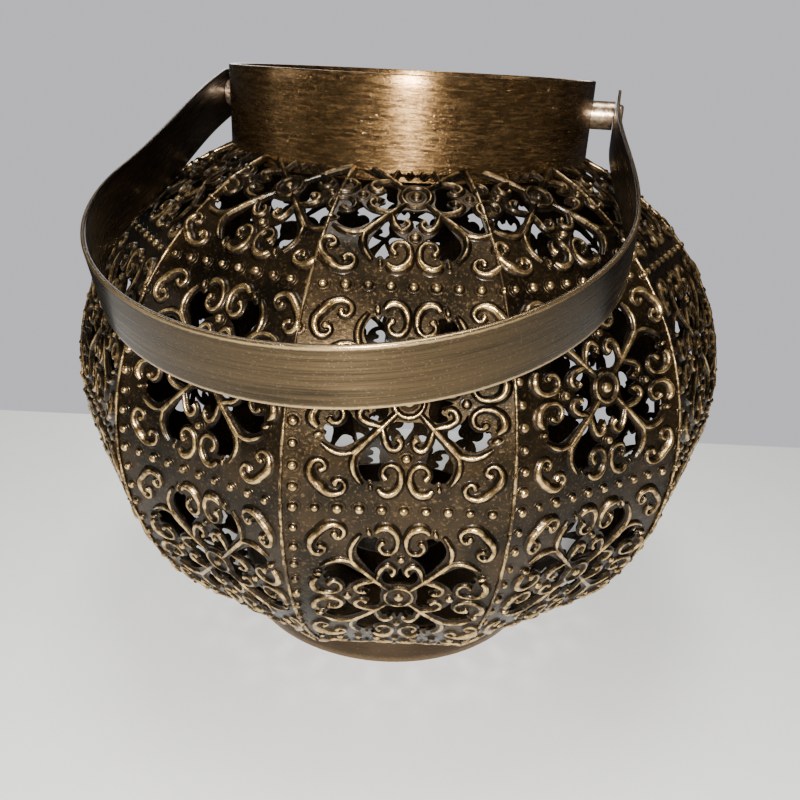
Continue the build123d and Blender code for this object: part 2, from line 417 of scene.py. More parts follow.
# %% The strokes of an eighth of a tile
pitch = 4.62 * MM
beads_to_a_side = 10
quarter_turns = ((1, 0), (0, 1), (-1, 0), (0, -1))  # cosine and sine
tile_shift = 1.5 * MM
tile_rows = (  # middle of each row above the waist, and how far it is stretched upwards
    (0.15 * MM + 1.5 * beads_to_a_side * 1.02 * pitch, 1.02),
    (0.15 * MM + 0.5 * beads_to_a_side * 1.02 * pitch, 1.02),
    (0.15 * MM - 0.5 * beads_to_a_side * 1.125 * pitch, 1.125),
    (0.15 * MM - 1.5 * beads_to_a_side * 1.125 * pitch, 1.125),
)
tile_middles = [  # across, up, and the stretch
    (tile_shift + column * beads_to_a_side * pitch, row_middle, stretch)
    for row_middle, stretch in tile_rows
    for column in (-1, 0, 1)
]
strokes = {  # each point is across, up, and the stroke's width there
    "ring": ((0, 0.68, 0.9), (-0.26, 0.628, 0.9), (-0.481, 0.481, 0.9)),
    "arm": ((-0.48, 0.48, 0.8), (-1.15, 1.15, 1.15), (-1.7, 1.7, 1.25), (-2.3, 2.36, 1.1)),
    "small_scroll": (
        (-1.12, 1.15, 0.8), (-1.03, 1.5, 1.0), (-0.92, 1.85, 1.1), (-0.65, 2.12, 1.15),
        (-0.38, 2.03, 1.05), (-0.27, 1.78, 0.95), (-0.40, 1.60, 1.3),
    ),
    "big_arc": ((-2.3, 2.36, 1.0), (-2.37, 2.85, 1.1), (-2.25, 3.3, 1.05), (-1.93, 3.78, 0.7)),
    "big_scroll": (
        (-1.22, 3.93, 0.95), (-0.97, 4.16, 1.55), (-0.60, 4.14, 1.75), (-0.28, 3.82, 1.35),
        (-0.20, 3.35, 1.05), (-0.34, 2.95, 1.0), (-0.65, 2.80, 1.0), (-0.95, 2.95, 0.95),
        (-1.03, 3.2, 0.95), (-0.88, 3.42, 1.35),
    ),
    "corner_scroll": (
        (-3.86, 3.86, 1.7), (-3.44, 4.2, 1.6), (-3.0, 4.24, 1.3), (-2.68, 3.98, 1.05),
        (-2.74, 3.67, 0.95), (-3.0, 3.56, 0.95), (-3.14, 3.76, 1.3),
    ),
}
print("strokes", {name: len(points) for name, points in strokes.items()})


# %% [markdown]
# ## Rules as node trees
#
# Whatever repeats or follows a path is grown by Geometry Nodes: change one input and
# every scroll follows. The tree is written here rather than drawn, its inputs are
# named, and the result is turned into a plain mesh at once, because only plain meshes
# can be trimmed, copied and exported.


# %% Helpers that make a tree and use it once
def rule(name, inputs):
    """A new geometry tree with named inputs. Returns it, its graph and the input wires."""
    tree = bpy.data.node_groups.new(name, "GeometryNodeTree")
    sockets = {"Geometry": "Geometry", **inputs, "Material": "Material"}
    for label, kind in sockets.items():
        tree.interface.new_socket(label, in_out="INPUT", socket_type="NodeSocket" + kind)
    tree.interface.new_socket("Geometry", in_out="OUTPUT", socket_type="NodeSocketGeometry")
    graph = Graph(tree)
    wires = graph.add("NodeGroupInput", out=tuple(sockets))
    return tree, graph, dict(zip(sockets, wires))


def end_rule(graph, geometry, material):
    """Every tree ends in real geometry with its material set."""
    real = graph.add("GeometryNodeRealizeInstances", {}, {"Geometry": geometry})
    real = graph.add("GeometryNodeSetMaterial", {}, {"Geometry": real, "Material": material})
    graph.add("NodeGroupOutput", {}, {"Geometry": real})


def grow(source, tree, sizes):
    """Runs a tree on the source object and returns the mesh. The source is used up."""
    modifier = source.modifiers.new("rule", "NODES")
    modifier.node_group = tree
    places = {item.name: item.identifier for item in tree.interface.items_tree if item.in_out == "INPUT"}
    for label, value in sizes.items():
        modifier[places[label]] = value
    source.update_tag()
    evaluated = source.evaluated_get(bpy.context.evaluated_depsgraph_get())
    mesh = bpy.data.meshes.new_from_object(evaluated)
    bpy.data.objects.remove(source)
    return mesh


def new_object(name, data):
    created = bpy.data.objects.new(name, data)
    bpy.context.scene.collection.objects.link(created)
    return created


def points_object(name, places, attribute, vectors):
    """Loose points, each with a vector that a tree can read."""
    mesh = bpy.data.meshes.new(name)
    mesh.from_pydata(places, [], [])
    field = mesh.attributes.new(attribute, "FLOAT_VECTOR", "POINT")
    field.data.foreach_set("vector", np.array(vectors, float).ravel())
    return new_object(name, mesh)


# %% [markdown]
# ## The scrollwork
#
# A raised line can be modelled as a displaced sheet, but a stamped scroll has steep
# sides that a displaced sheet smears. Here each stroke is a curve with a half-round
# swept along it. The tree mirrors the eighth, turns it four times, lays the tile
# wherever a point says and lets the width wander a little, as hand-cut dies do. It also
# writes down how far up its ridge each point is, which is what the finish reads.

# %% A tree that lays scrolls
ditch_wax_and_shade_depth = 0.5                    # relief below the ground, where dark wax stays and shade is painted
scroll_tree, graph, inputs = rule(
    "Scrollwork",
    {"Strokes": "Object", "Section": "Object", "Half width": "Float", "Height": "Float", "Step": "Float"},
)
drawn = graph.shape_of(inputs["Strokes"])
mirrored = graph.add("GeometryNodeTransform", {}, {"Geometry": drawn, "Scale": (-1, 1, 1)})
side = graph.add("GeometryNodeJoinGeometry", {}, {"Geometry": drawn})
graph.tree.links.new(mirrored.socket, side.socket.node.inputs[0])
corners = graph.add("GeometryNodePoints", {}, {"Count": 4})
quarter = graph.add("GeometryNodeInputIndex") * (math.pi / 2)
tile = graph.lay(corners, side, Rotation=graph.vector(z=quarter))
laid = graph.lay(inputs["Geometry"], tile, Scale=graph.vector_at_points("tile_scale"))
values = {"Curve": laid, "Length": inputs["Step"]}
lines = graph.add("GeometryNodeResampleCurve", {"mode": "LENGTH"}, values)
lines = graph.add("GeometryNodeSetCurveNormal", {"mode": "Z_UP"}, {"Curve": lines})
place = graph.add("GeometryNodeInputPosition")
values = {"Vector": place, "Scale": 330.0, "Detail": 1.0}
wander = graph.add("ShaderNodeTexNoise", {}, values)
width = graph.add("GeometryNodeInputRadius") * (wander * 0.5 + 0.75)
half_round = graph.shape_of(inputs["Section"])
downwards = inputs["Height"] * -1    # a section's own Y hangs down where the normals lie level
flattened = graph.vector(inputs["Half width"], downwards, 1.0)
profile = graph.add("GeometryNodeTransform", {}, {"Geometry": half_round, "Scale": flattened})
values = {"Curve": lines, "Profile Curve": profile, "Scale": width, "Fill Caps": True}
swept = graph.add("GeometryNodeCurveToMesh", {}, values)
_, _, height = graph.axes(place)
share = height / inputs["Height"]
# below 0 at the ridge's foot: the finish paints it dark, for wax and as painted shade
relief = share.ramp(0.45, 1.0) - (1 - share.ramp(0.05, 0.3)) * ditch_wax_and_shade_depth
end_rule(graph, graph.keep(swept, "relief", relief), inputs["Material"])


# %% Draw the strokes as curves and run the tree over every tile place
def stroke_curves(name, shapes):
    """Smooth curves through the points, each point's third number its width."""
    curve = bpy.data.curves.new(name, "CURVE")
    curve.dimensions = "3D"
    curve.resolution_u = 8
    for points in shapes:
        spline = curve.splines.new("BEZIER")
        spline.bezier_points.add(len(points) - 1)
        for point, (across, up, thick) in zip(spline.bezier_points, points):
            point.co = (across, up, 0)
            point.radius = thick
            point.handle_left_type = "AUTO"
            point.handle_right_type = "AUTO"
    return new_object(name, curve)


def section_curve(name, corners):
    """A closed loop of straight runs, for sweeping."""
    curve = bpy.data.curves.new(name, "CURVE")
    curve.dimensions = "3D"
    spline = curve.splines.new("POLY")
    spline.points.add(len(corners) - 1)
    for point, (across, up) in zip(spline.points, corners):
        point.co = (across, up, 0, 1)
    spline.use_cyclic_u = True
    return new_object(name, curve)


stroke_object = stroke_curves("stroke_drawing", strokes.values())
tile_places = [(across, up, 0) for across, up, _ in tile_middles]
tile_scales = [(pitch, stretch * pitch, pitch) for _, _, stretch in tile_middles]
scroll_sizes = {
    "Strokes": stroke_object,
    "Half width": 0.55 * MM,
    "Height": 0.72 * MM,
    "Step": 0.46 * MM,
    "Material": antique,
}
section_shape = (  # half widths across, heights up: a stamped ridge with a soft foot
    (-1.65, -0.02), (-1.2, 0.10), (-0.88, 0.42), (-0.55, 0.82), (-0.2, 0.99), (0.2, 0.99),
    (0.55, 0.82), (0.88, 0.42), (1.2, 0.10), (1.65, -0.02), (0, -0.25),
)
section_object = section_curve("ridge_section", section_shape)
scroll_sizes["Section"] = section_object
places = points_object("tile_places", tile_places, "tile_scale", tile_scales)
scroll_mesh = grow(places, scroll_tree, scroll_sizes)
bpy.data.objects.remove(stroke_object)
bpy.data.objects.remove(section_object)
lowest = min(v.co.z for v in scroll_mesh.vertices)
highest = max(v.co.z for v in scroll_mesh.vertices)
print(f"scrolls from {lowest * 1000:.2f} to {highest * 1000:.2f} mm")
print("scrollwork faces", len(scroll_mesh.polygons))

# %% [markdown]
# ## Beads
#
# Rows of beads part the tiles. Each bead is punched from behind, so it stands in a
# small ditch with a lip round it. A panel has over six hundred, so one bead of some
# eighty faces is turned on a lathe of numbers and then set at every place by a tree,
# each turned and sized a little differently.


# %% A lathe of numbers
def turned_mesh(name, profile, steps, closed):
    """Revolves (radius, height) points about Z. A closed profile makes a ring."""
    built = bmesh.new()
    rings = []
    for radius, height in profile:
        if radius == 0:
            rings.append([built.verts.new((0, 0, height))] * steps)
            continue
        angles = [math.tau * step / steps for step in range(steps)]
        spots = [(radius * math.cos(angle), radius * math.sin(angle), height) for angle in angles]
        rings.append([built.verts.new(spot) for spot in spots])
    pairs = list(zip(rings, rings[1:]))
    if closed:
        pairs.append((rings[-1], rings[0]))
    for lower, upper in pairs:
        for step in range(steps):
            after = (step + 1) % steps
            corners = (lower[step], lower[after], upper[after], upper[step])
            built.faces.new(list(dict.fromkeys(corners)))
    bmesh.ops.recalc_face_normals(built, faces=built.faces)
    for face in built.faces:
        face.smooth = True
    mesh = bpy.data.meshes.new(name)
    built.to_mesh(mesh)
    built.free()
    return mesh


bead_profile = (  # radius and height as shares of the pitch
    (0.44, -0.05), (0.37, 0.022), (0.29, 0.012), (0.235, 0.04), (0.205, 0.12),
    (0.15, 0.19), (0.075, 0.225), (0, 0.235),
)
bead_steps = 12
bead_mesh = turned_mesh("bead", bead_profile[::-1], bead_steps, False)
if bead_mesh.polygons[0].normal.z < 0:
    bead_mesh.flip_normals()
print("one bead has", len(bead_mesh.polygons), "faces")

# %% A tree that sets beads
bead_tree, graph, inputs = rule("Beads", {"Bead": "Object", "Bead height": "Float"})
bead = graph.shape_of(inputs["Bead"])
scale = graph.vector_at_points("bead_scale")
size = graph.add("FunctionNodeRandomValue", {"data_type": "FLOAT"}, {2: 0.86, 3: 1.08, "Seed": 7}, out=1)
turn = graph.add("FunctionNodeRandomValue", {"data_type": "FLOAT"}, {2: 0.0, 3: 0.5, "Seed": 3}, out=1)
sized = graph.add("ShaderNodeVectorMath", {"operation": "SCALE"}, {"Vector": scale, "Scale": size})
beads = graph.lay(inputs["Geometry"], bead, Rotation=graph.vector(z=turn), Scale=sized)
place = graph.add("GeometryNodeInputPosition")
_, _, height = graph.axes(place)
relief = (height / inputs["Bead height"]).ramp(0.1, 0.9)
end_rule(graph, graph.keep(beads, "relief", relief), inputs["Material"])

# %% Bead places, in pitches from a tile's middle
half_side = beads_to_a_side // 2
edges = (-half_side, half_side)
border = [(step, edge, 1, 1) for edge in edges for step in range(-half_side, half_side)]
border += [(edge, step, 1, 1) for edge in edges for step in range(1 - half_side, half_side)]
eighth_beads = ((-1.53, 3.9, 0.5, 1.0), (-3.12, 3.78, 0.62, 0.62), (-0.9, 3.4, 0.66, 0.66))
inner = [(0, 0, 1.15, 1.15)]
for cosine, sine in quarter_turns:
    inner.append((-2.5 * sine, 2.5 * cosine, 0.95, 0.95))
    for across, up, wide, tall in eighth_beads:
        shape = (wide, tall) if sine == 0 else (tall, wide)
        for mirrored in (across, -across):
            inner.append((mirrored * cosine - up * sine, mirrored * sine + up * cosine, *shape))
bead_places = {}                     # by place, so that a bead that two tiles share is set once
for tile_across, tile_up, stretch in tile_middles:
    for across, up, wide, tall in border + inner:
        x = tile_across + across * pitch
        y = tile_up + up * stretch * pitch
        bead_places[round(x, 6), round(y, 6), 0] = (wide * pitch, tall * pitch, pitch * min(1, wide + 0.2))
bead_object = new_object("bead", bead_mesh)
places = points_object("bead_places", list(bead_places), "bead_scale", list(bead_places.values()))
bead_sizes = {"Bead": bead_object, "Bead height": 0.23 * pitch, "Material": antique}
beads_mesh = grow(places, bead_tree, bead_sizes)
bpy.data.objects.remove(bead_object)
print("bead places", len(bead_places), "faces", len(beads_mesh.polygons))

# %% [markdown]
# ## The pierced sheet
#
# The light holes could be cut with booleans, but dozens of cuts in a curved sheet leave
# slivers. In the flat drawing a triangulation that keeps given edges does it in one
# step: the sheet's outline, every hole's outline and a lattice of points go in, and
# the triangles that fall in a hole are left out. Solidify then gives the sheet its
# thickness, and the cut edges show it.

# %% Hole outlines of an eighth, and a smoother for them
comma_hole = (
    (-1.15, 3.62), (-1.5, 3.66), (-1.8, 3.56), (-2.03, 3.22), (-2.1, 2.88), (-1.98, 2.5),
    (-1.66, 2.04), (-1.42, 1.66), (-1.25, 1.42), (-1.17, 1.6), (-1.1, 1.85), (-1.0, 2.1),
    (-0.75, 2.4), (-0.45, 2.58), (-0.62, 2.66), (-0.95, 2.84), (-1.15, 3.12), (-1.12, 3.4),
)
petal_hole = (
    (0, 1.95), (-0.17, 1.6), (-0.42, 1.42), (-0.62, 1.72), (-0.8, 1.66), (-0.88, 1.3),
    (-0.75, 1.0), (-0.45, 0.86), (0, 0.92), (0.45, 0.86), (0.75, 1.0), (0.88, 1.3),
    (0.8, 1.66), (0.62, 1.72), (0.42, 1.42), (0.17, 1.6),
)


def smooth_loop(corners, steps=3):
    """A closed Catmull-Rom curve through the corners."""
    corners = np.array(corners, float)
    before, after, later = (np.roll(corners, shift, 0) for shift in (1, -1, -2))
    loop = []
    for step in range(steps):
        u = step / steps
        bend = (2 * before - 5 * corners + 4 * after - later) * u**2
        twist = (3 * corners - before - 3 * after + later) * u**3
        loop.append((2 * corners + (after - before) * u + bend + twist) / 2)
    return np.stack(loop, 1).reshape(-1, 2)


def turned_copies(loop, mirror):
    """The loop at each quarter turn, and its mirror images if asked."""
    copies = []
    for flip in (1, -1) if mirror else (1,):
        across, up = loop[:, 0] * flip, loop[:, 1]
        for cosine, sine in quarter_turns:
            copies.append(np.stack((across * cosine - up * sine, across * sine + up * cosine), 1))
    return copies


tile_holes = turned_copies(smooth_loop(comma_hole), True) + turned_copies(smooth_loop(petal_hole), False)
print("holes to a tile", len(tile_holes))


# %% Outline of the flat strip, and of the part that may be pierced
def strip_outline(inset):
    """Closed loop round the strip, its ends curved so that they meet round walls."""
    steps = 90
    top_wall = collar_radius - panel_end
    foot_wall = ring_radius - panel_end

    def edge(side, wall):
        reach = math.sin(half_panel) * wall
        across = np.linspace(-reach, reach, 16)
        return [(t, rise_at(math.sqrt(wall**2 - t**2), side) - side * inset) for t in across]

    top = edge(1, top_wall)
    foot = edge(-1, foot_wall)
    rises = np.linspace(foot[0][1], top[0][1], steps)[1:-1]
    sides = [(apothem_at(rise) * math.tan(half_panel) - inset, rise) for rise in rises]
    shrink = 1 - inset / (math.sin(half_panel) * top_wall)
    foot = [(t * shrink, rise) for t, rise in foot]
    top = [(t * shrink, rise) for t, rise in top]
    left = [(-across, rise) for across, rise in reversed(sides)]
    return np.array(foot + sides + top[::-1] + left)


def inside(points, loop):
    """Which points lie in a closed loop, by counting crossings."""
    x, y = points[:, :1], points[:, 1:]
    x0, y0 = loop[:, 0], loop[:, 1]
    x1, y1 = np.roll(x0, -1), np.roll(y0, -1)
    crosses = (y0 > y) != (y1 > y)
    with np.errstate(divide="ignore", invalid="ignore"):
        where = x0 + (y - y0) / (y1 - y0) * (x1 - x0)
    return (crosses & (x < where)).sum(1) % 2 == 1


# %% Cut the sheet
hem = 0.9 * MM                       # plain edge that is left round the strip
lattice_step = 1.6 * MM
lattice_margin = 0.5 * MM


def pierced_sheet():
    outline = strip_outline(0)
    pierceable = strip_outline(hem)
    holes = []
    for across, up, stretch in tile_middles:
        for hole in tile_holes:
            placed = hole * (pitch, stretch * pitch) + (across, up)
            if inside(placed, pierceable).any():
                holes.append(placed)
    low, high = outline.min(0), outline.max(0)
    across = np.arange(low[0], high[0], lattice_step)
    up = np.arange(low[1], high[1], lattice_step)
    lattice = np.stack(np.meshgrid(across, up), -1).reshape(-1, 2)
    lattice = lattice[inside(lattice, strip_outline(lattice_margin))]
    points = list(lattice)
    edges = []
    for loop in [outline, pierceable] + holes:
        first = len(points)
        points += list(loop)
        edges += [(first + k, first + (k + 1) % len(loop)) for k in range(len(loop))]
    grid = [Vector(point) * 1000 for point in points]
    verts, _, faces, *_ = delaunay_2d_cdt(grid, edges, [], 0, 1e-4)
    flat = np.array([tuple(v) for v in verts]) * MM
    faces = np.array([face[:] for face in faces])
    middles = flat[faces].mean(1)
    keep = inside(middles, outline)
    in_hole = np.zeros(len(middles), bool)
    for hole in holes:
        in_hole |= inside(middles, hole)
    keep &= ~(in_hole & inside(middles, pierceable))
    return flat, faces[keep], len(holes)


flat, faces, hole_count = pierced_sheet()
used = np.unique(faces)
renumber = np.full(len(flat), -1)
renumber[used] = np.arange(len(used))
sheet_mesh = bpy.data.meshes.new("sheet")
sheet_mesh.from_pydata([(x, y, 0) for x, y in flat[used]], [], renumber[faces].tolist())
print("holes in a panel", hole_count, "sheet triangles", len(sheet_mesh.polygons))

# %% [markdown]
# ## Bending a flat panel onto the globe
#
# A Simple Deform modifier bends to one radius only, and this profile has two, one above
# the waist and one below. So the bend is written out as a rule: the length up the strip
# becomes an angle round the right arc, and the height of the relief is added to that
# arc's radius. The strip stays straight across, as a bent strip of metal does.

# %% A tree that bends
bend_inputs = {"Apothem": "Float", "Upper arc": "Float", "Lower arc": "Float", "Waist": "Float"}
bend_tree, graph, inputs = rule("Bend onto the globe", bend_inputs)
place = graph.add("GeometryNodeInputPosition")
across, up, relief = graph.axes(place)
values = {0: up, 1: 0.0}
is_upper = graph.add("ShaderNodeMath", {"operation": "GREATER_THAN"}, values)
arc = inputs["Lower arc"] + (inputs["Upper arc"] - inputs["Lower arc"]) * is_upper
angle = up / arc
reach = arc + relief
outward = inputs["Apothem"] - arc + reach * angle.math("COSINE")
risen = inputs["Waist"] + reach * angle.math("SINE")
values = {"Geometry": inputs["Geometry"], "Position": graph.vector(outward, across, risen)}
panel_shape = graph.add("GeometryNodeSetPosition", {}, values)
end_rule(graph, panel_shape, inputs["Material"])


# %% Give the sheet its thickness, and join it with its scrolls and beads
def with_thickness(mesh, thickness):
    """Solidify downwards, applied."""
    source = new_object("thickening", mesh)
    modifier = source.modifiers.new("wall", "SOLIDIFY")
    modifier.thickness = thickness
    modifier.offset = -1
    evaluated = source.evaluated_get(bpy.context.evaluated_depsgraph_get())
    thick = bpy.data.meshes.new_from_object(evaluated)
    bpy.data.objects.remove(source)
    return thick


def joined(name, meshes):
    """One mesh from several. The relief number is 0 where a mesh has none."""
    built = bmesh.new()
    for mesh in meshes:
        if "relief" not in mesh.attributes:
            mesh.attributes.new("relief", "FLOAT", "POINT")
        built.from_mesh(mesh)
    mesh = bpy.data.meshes.new(name)
    built.to_mesh(mesh)
    built.free()
    return mesh


ground = -0.25 * MM                  # the sheet's face, below the globe's nominal surface
if sheet_mesh.polygons[0].normal.z < 0:
    sheet_mesh.flip_normals()
sheet_mesh = with_thickness(sheet_mesh, sheet)
for mesh in (sheet_mesh, scroll_mesh, beads_mesh):
    mesh.transform(Matrix.Translation((0, 0, ground)))
flat_panel = new_object("flat_panel", joined("flat_panel", (sheet_mesh, scroll_mesh, beads_mesh)))
bend_sizes = {
    "Apothem": apothem,
    "Upper arc": upper_arc,
    "Lower arc": lower_arc,
    "Waist": waist,
    "Material": antique,
}
panel_mesh = grow(flat_panel, bend_tree, bend_sizes)
print("bent panel faces", len(panel_mesh.polygons))

# %% [markdown]
# ## Trimming at the seams and the rings
#
# The pattern is a roll that was printed longer and wider than the strip and then cut
# through, scrolls, beads and all. So the bent panel is sliced by the two upright planes
# of its seams, and the open ends are closed. What would poke through the collar's or
# the base ring's wall is taken away inside that wall, where nobody sees the cut.


# %% Trim the panel
def trim(mesh):
    built = bmesh.new()
    built.from_mesh(mesh)
    for side in (-1, 1):
        normal = Vector((-math.sin(half_panel), side * math.cos(half_panel), 0))
        geometry = built.verts[:] + built.edges[:] + built.faces[:]
        cut = bmesh.ops.bisect_plane(
            built, geom=geometry, dist=1e-7, plane_co=(0, 0, 0), plane_no=normal, clear_outer=True
        )
        rims = [e for e in cut["geom_cut"] if isinstance(e, bmesh.types.BMEdge) and e.is_boundary]
        bmesh.ops.holes_fill(built, edges=rims, sides=40)
    hidden = []
    for vert in built.verts:
        distance = math.hypot(vert.co.x, vert.co.y)
        wall = collar_radius if vert.co.z > waist else ring_radius
        if distance < wall - panel_cut:
            hidden.append(vert)
    bmesh.ops.delete(built, geom=hidden, context="VERTS")
    bmesh.ops.dissolve_degenerate(built, dist=1e-6, edges=built.edges)
    for face in built.faces:
        face.smooth = True
    trimmed = bpy.data.meshes.new("panel")
    built.to_mesh(trimmed)
    built.free()
    trimmed.materials.append(antique)
    trimmed.set_sharp_from_angle(angle=math.radians(50))
    return trimmed


panel_mesh = trim(panel_mesh)
print("trimmed panel faces", len(panel_mesh.polygons))


# %% Twelve panels, each turned to its place
def finished(name, mesh, body, nodes):
    """Makes a mesh a piece of the lantern: object, body and what it replaces."""
    piece = new_object(name, mesh)
    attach(piece, body)
    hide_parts(*nodes)
    return piece


for number in range(1, panel_count + 1):
    heading = panel_turn - math.pi / 2 + (number - 1) * 2 * half_panel
    mesh = panel_mesh.copy()
    mesh.transform(Matrix.Rotation(heading, 4, "Z"))
    finished(f"pierced_panel_{number:02d}", mesh, "lantern_body", [f"panel_{number:02d}"])
print("panels", panel_count)

# %% [markdown]
# ## Solder seams
#
# Where two strips meet there is a bead of solder, drawn by hand from top to bottom, so
# it swells, thins and wanders. A swept curve with an even section would look like
# piping. The tree sweeps a thin round along the corner of the globe, copies it to all
# twelve corners and only then pushes it about with noise, so that no two are alike.

# %% The corner line, and the tree that draws solder along it
seam_tree, graph, inputs = rule(
    "Solder", {"Radius": "Float", "Wander": "Float", "Seams": "Int", "First": "Float"}
)
line = graph.add("GeometryNodeMeshToCurve", {}, {"Mesh": inputs["Geometry"]})
values = {"Resolution": 9, "Radius": inputs["Radius"]}
circle = graph.add("GeometryNodeCurvePrimitiveCircle", {"mode": "RADIUS"}, values)
values = {"Curve": line, "Profile Curve": circle, "Fill Caps": True}
seam = graph.add("GeometryNodeCurveToMesh", {}, values)
corners = graph.add("GeometryNodePoints", {}, {"Count": inputs["Seams"]})
heading = graph.add("GeometryNodeInputIndex") * (2 * half_panel) + inputs["First"]
seams = graph.lay(corners, seam, Rotation=graph.vector(z=heading))
place = graph.add("GeometryNodeInputPosition")
values = {"Vector": place, "Scale": 260.0, "Detail": 3.0, "Roughness": 0.6}
push = graph.add("ShaderNodeTexNoise", {}, values)
normal = graph.add("GeometryNodeInputNormal")
amount = (push - 0.5) * inputs["Wander"]
offset = graph.add("ShaderNodeVectorMath", {"operation": "SCALE"}, {"Vector": normal, "Scale": amount})
seams = graph.add("GeometryNodeSetPosition", {}, {"Geometry": seams, "Offset": offset})
seams = graph.add("GeometryNodeSetShadeSmooth", {}, {"Geometry": seams})
end_rule(graph, seams, inputs["Material"])

seam_top = rise_at((collar_radius - solder_end) * math.cos(half_panel), 1)
seam_foot = rise_at((ring_radius - solder_end) * math.cos(half_panel), -1)
seam_steps = 260
seam_points = []
for rise in np.linspace(seam_foot, seam_top, seam_steps):
    arc = upper_arc if rise > 0 else lower_arc
    reach = apothem_at(rise) / math.cos(half_panel)
    seam_points.append((reach, 0, waist + arc * math.sin(rise / arc)))
line_mesh = bpy.data.meshes.new("corner_line")
line_mesh.from_pydata(seam_points, [(k, k + 1) for k in range(seam_steps - 1)], [])
seam_sizes = {
    "Radius": 0.36 * MM,
    "Wander": 0.8 * MM,
    "Seams": panel_count,
    "First": panel_turn - math.pi / 2 + half_panel,
    "Material": solder,
}
seam_mesh = grow(new_object("corner_line", line_mesh), seam_tree, seam_sizes)
finished("solder_seams", seam_mesh, "lantern_body", ["seam_solder"])
print("solder faces", len(seam_mesh.polygons))

# %% [markdown]
# ## Collar and base ring
#
# Both are strips rolled into rings. A ring made as a plain tube looks machined: the
# real ones have a softened lip and are a few hundredths of a millimetre out of true,
# which shows as bends in the highlights. So they are turned from a profile with
# rounded edges, and each is then pressed out of round by three shallow waves.


# %% A rolled ring, slightly out of true
ring_steps = 240
ring_waves = (  # depth against the others, waves round, how fast it turns with height, start
    (1.0, 3, 0, 0.7),
    (0.7, 5, 90, 0),
    (0.4, 11, 160, -math.pi / 2),
)


def rolled_ring(name, profile, material, dent):
    """Turns the closed profile and presses it inwards by up to dent."""
    mesh = turned_mesh(name, profile, ring_steps, True)
    mesh.materials.append(material)
    coordinates = np.zeros(len(mesh.vertices) * 3)
    mesh.vertices.foreach_get("co", coordinates)
    coordinates = coordinates.reshape(-1, 3)
    angle = np.arctan2(coordinates[:, 1], coordinates[:, 0])
    height = coordinates[:, 2]
    deepest = sum(depth for depth, *_ in ring_waves)
    bend = sum(
        depth * np.cos(waves * angle + height * twist + start) for depth, waves, twist, start in ring_waves
    )
    shrink = 1 - dent * (bend + deepest) / (2 * deepest) / collar_radius
    coordinates[:, :2] *= shrink[:, None]
    mesh.vertices.foreach_set("co", coordinates.ravel())
    mesh.set_sharp_from_angle(angle=math.radians(60))
    return mesh


collar_wall = 0.9 * MM
lip = 0.3 * MM                       # radius of a softened edge
bevel = lip * 0.3                    # and how far its middle stands in
collar_inside = collar_radius - collar_wall
top, foot = collar_high.z, collar_low.z
heights = np.linspace(foot, top - lip, 9).tolist()
collar_profile = [(collar_radius, height) for height in heights]
collar_profile += [
    (collar_radius - bevel, top - bevel), (collar_radius - lip, top),
    (collar_inside + lip, top), (collar_inside + bevel, top - bevel),
]
collar_profile += [(collar_inside, height) for height in heights[::-1]]
collar_mesh = rolled_ring("rolled_collar", collar_profile, copper, dent=0.10 * MM)
finished("rolled_collar", collar_mesh, "lantern_body", ["collar"])

ring_wall = 0.9 * MM
foot_reach = 3.0 * MM
ring_top = ring_high.z
ring_inside = ring_radius - ring_wall
ring_profile = [
    (ring_inside - foot_reach, 0), (ring_radius - lip, 0), (ring_radius - bevel, bevel), (ring_radius, lip),
    (ring_radius, ring_top * 0.35), (ring_radius, ring_top * 0.7), (ring_radius, ring_top),
    (ring_inside, ring_top), (ring_inside, ring_top * 0.5), (ring_inside, ring_wall),
    (ring_inside - foot_reach, ring_wall),
]
ring_mesh = rolled_ring("rolled_foot", ring_profile, bronze, dent=0.06 * MM)
finished("rolled_foot", ring_mesh, "lantern_body", ["base_ring"])
print("collar faces", len(collar_mesh.polygons), "foot faces", len(ring_mesh.polygons))

# %% [markdown]
# ## The strap bail
#
# The bail is a flat strap with softened edges, bent the easy way into a hoop, its ends
# rounded about the rivets. Sweeping with a bevelled curve would not narrow the width
# at the ends without thinning the metal too. So its sections are laid one by one along
# the same line that the CAD strap follows, and each point keeps four numbers for the
# finish: how far along, how far across, whether it is on the inner face, which the
# finish darkens as painted shade, and whether it is on an edge, where the colour has
# worn off.

# %% The strap's line, seen square to its plane
strap_low, strap_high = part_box("bail_handle")
strap_width = 12.7 * MM
strap_thickness = 1.0 * MM
half_span = 54.92 * MM
crown_radius = 55.4 * MM
crown_offset = 6.0 * MM
crown_centre = -64.8 * MM
seat_length = 5.0 * MM
rest_tilt = math.radians(17.2)
crown_steps = 90
arm_steps = 50


def spring_line(start, end, pull, steps):
    """A cubic that leaves start and reaches end along pull, as a drawn spline does."""
    start, end, pull = (np.array(v, float) for v in (start, end, pull))
    pull = pull * np.linalg.norm(end - start)
    u = np.linspace(0, 1, steps)[:, None]
    ends = start * (2 * u**3 - 3 * u**2 + 1) + end * (3 * u**2 - 2 * u**3)
    return ends + pull * (2 * u**3 - 3 * u**2 + u)


def strap_line():
    left_seat = (-half_span, -seat_length)
    right_seat = (half_span, -seat_length)
    left_crown = (crown_offset - crown_radius, crown_centre)
    right_crown = (crown_offset + crown_radius, crown_centre)
    rounding = strap_width / 2 * np.cos(np.linspace(0.16, math.pi / 2, 10))
    left = [(-half_span, height) for height in rounding] + [(-half_span, -seat_length / 2)]
    right = [(half_span, height) for _, height in left[::-1]]
    turn = np.linspace(math.pi, math.tau, crown_steps)[1:-1]
    crown = np.stack((np.cos(turn), np.sin(turn)), 1) * crown_radius + (crown_offset, crown_centre)
    down = spring_line(left_seat, left_crown, (0, -1), arm_steps)
    back = spring_line(right_crown, right_seat, (0, 1), arm_steps)
    return np.concatenate((left, down, crown, back, right))


line = strap_line()
along = np.concatenate(((0,), np.cumsum(np.linalg.norm(np.diff(line, axis=0), axis=1))))
print(f"strap line {along[-1] * 1000:.0f} mm long")

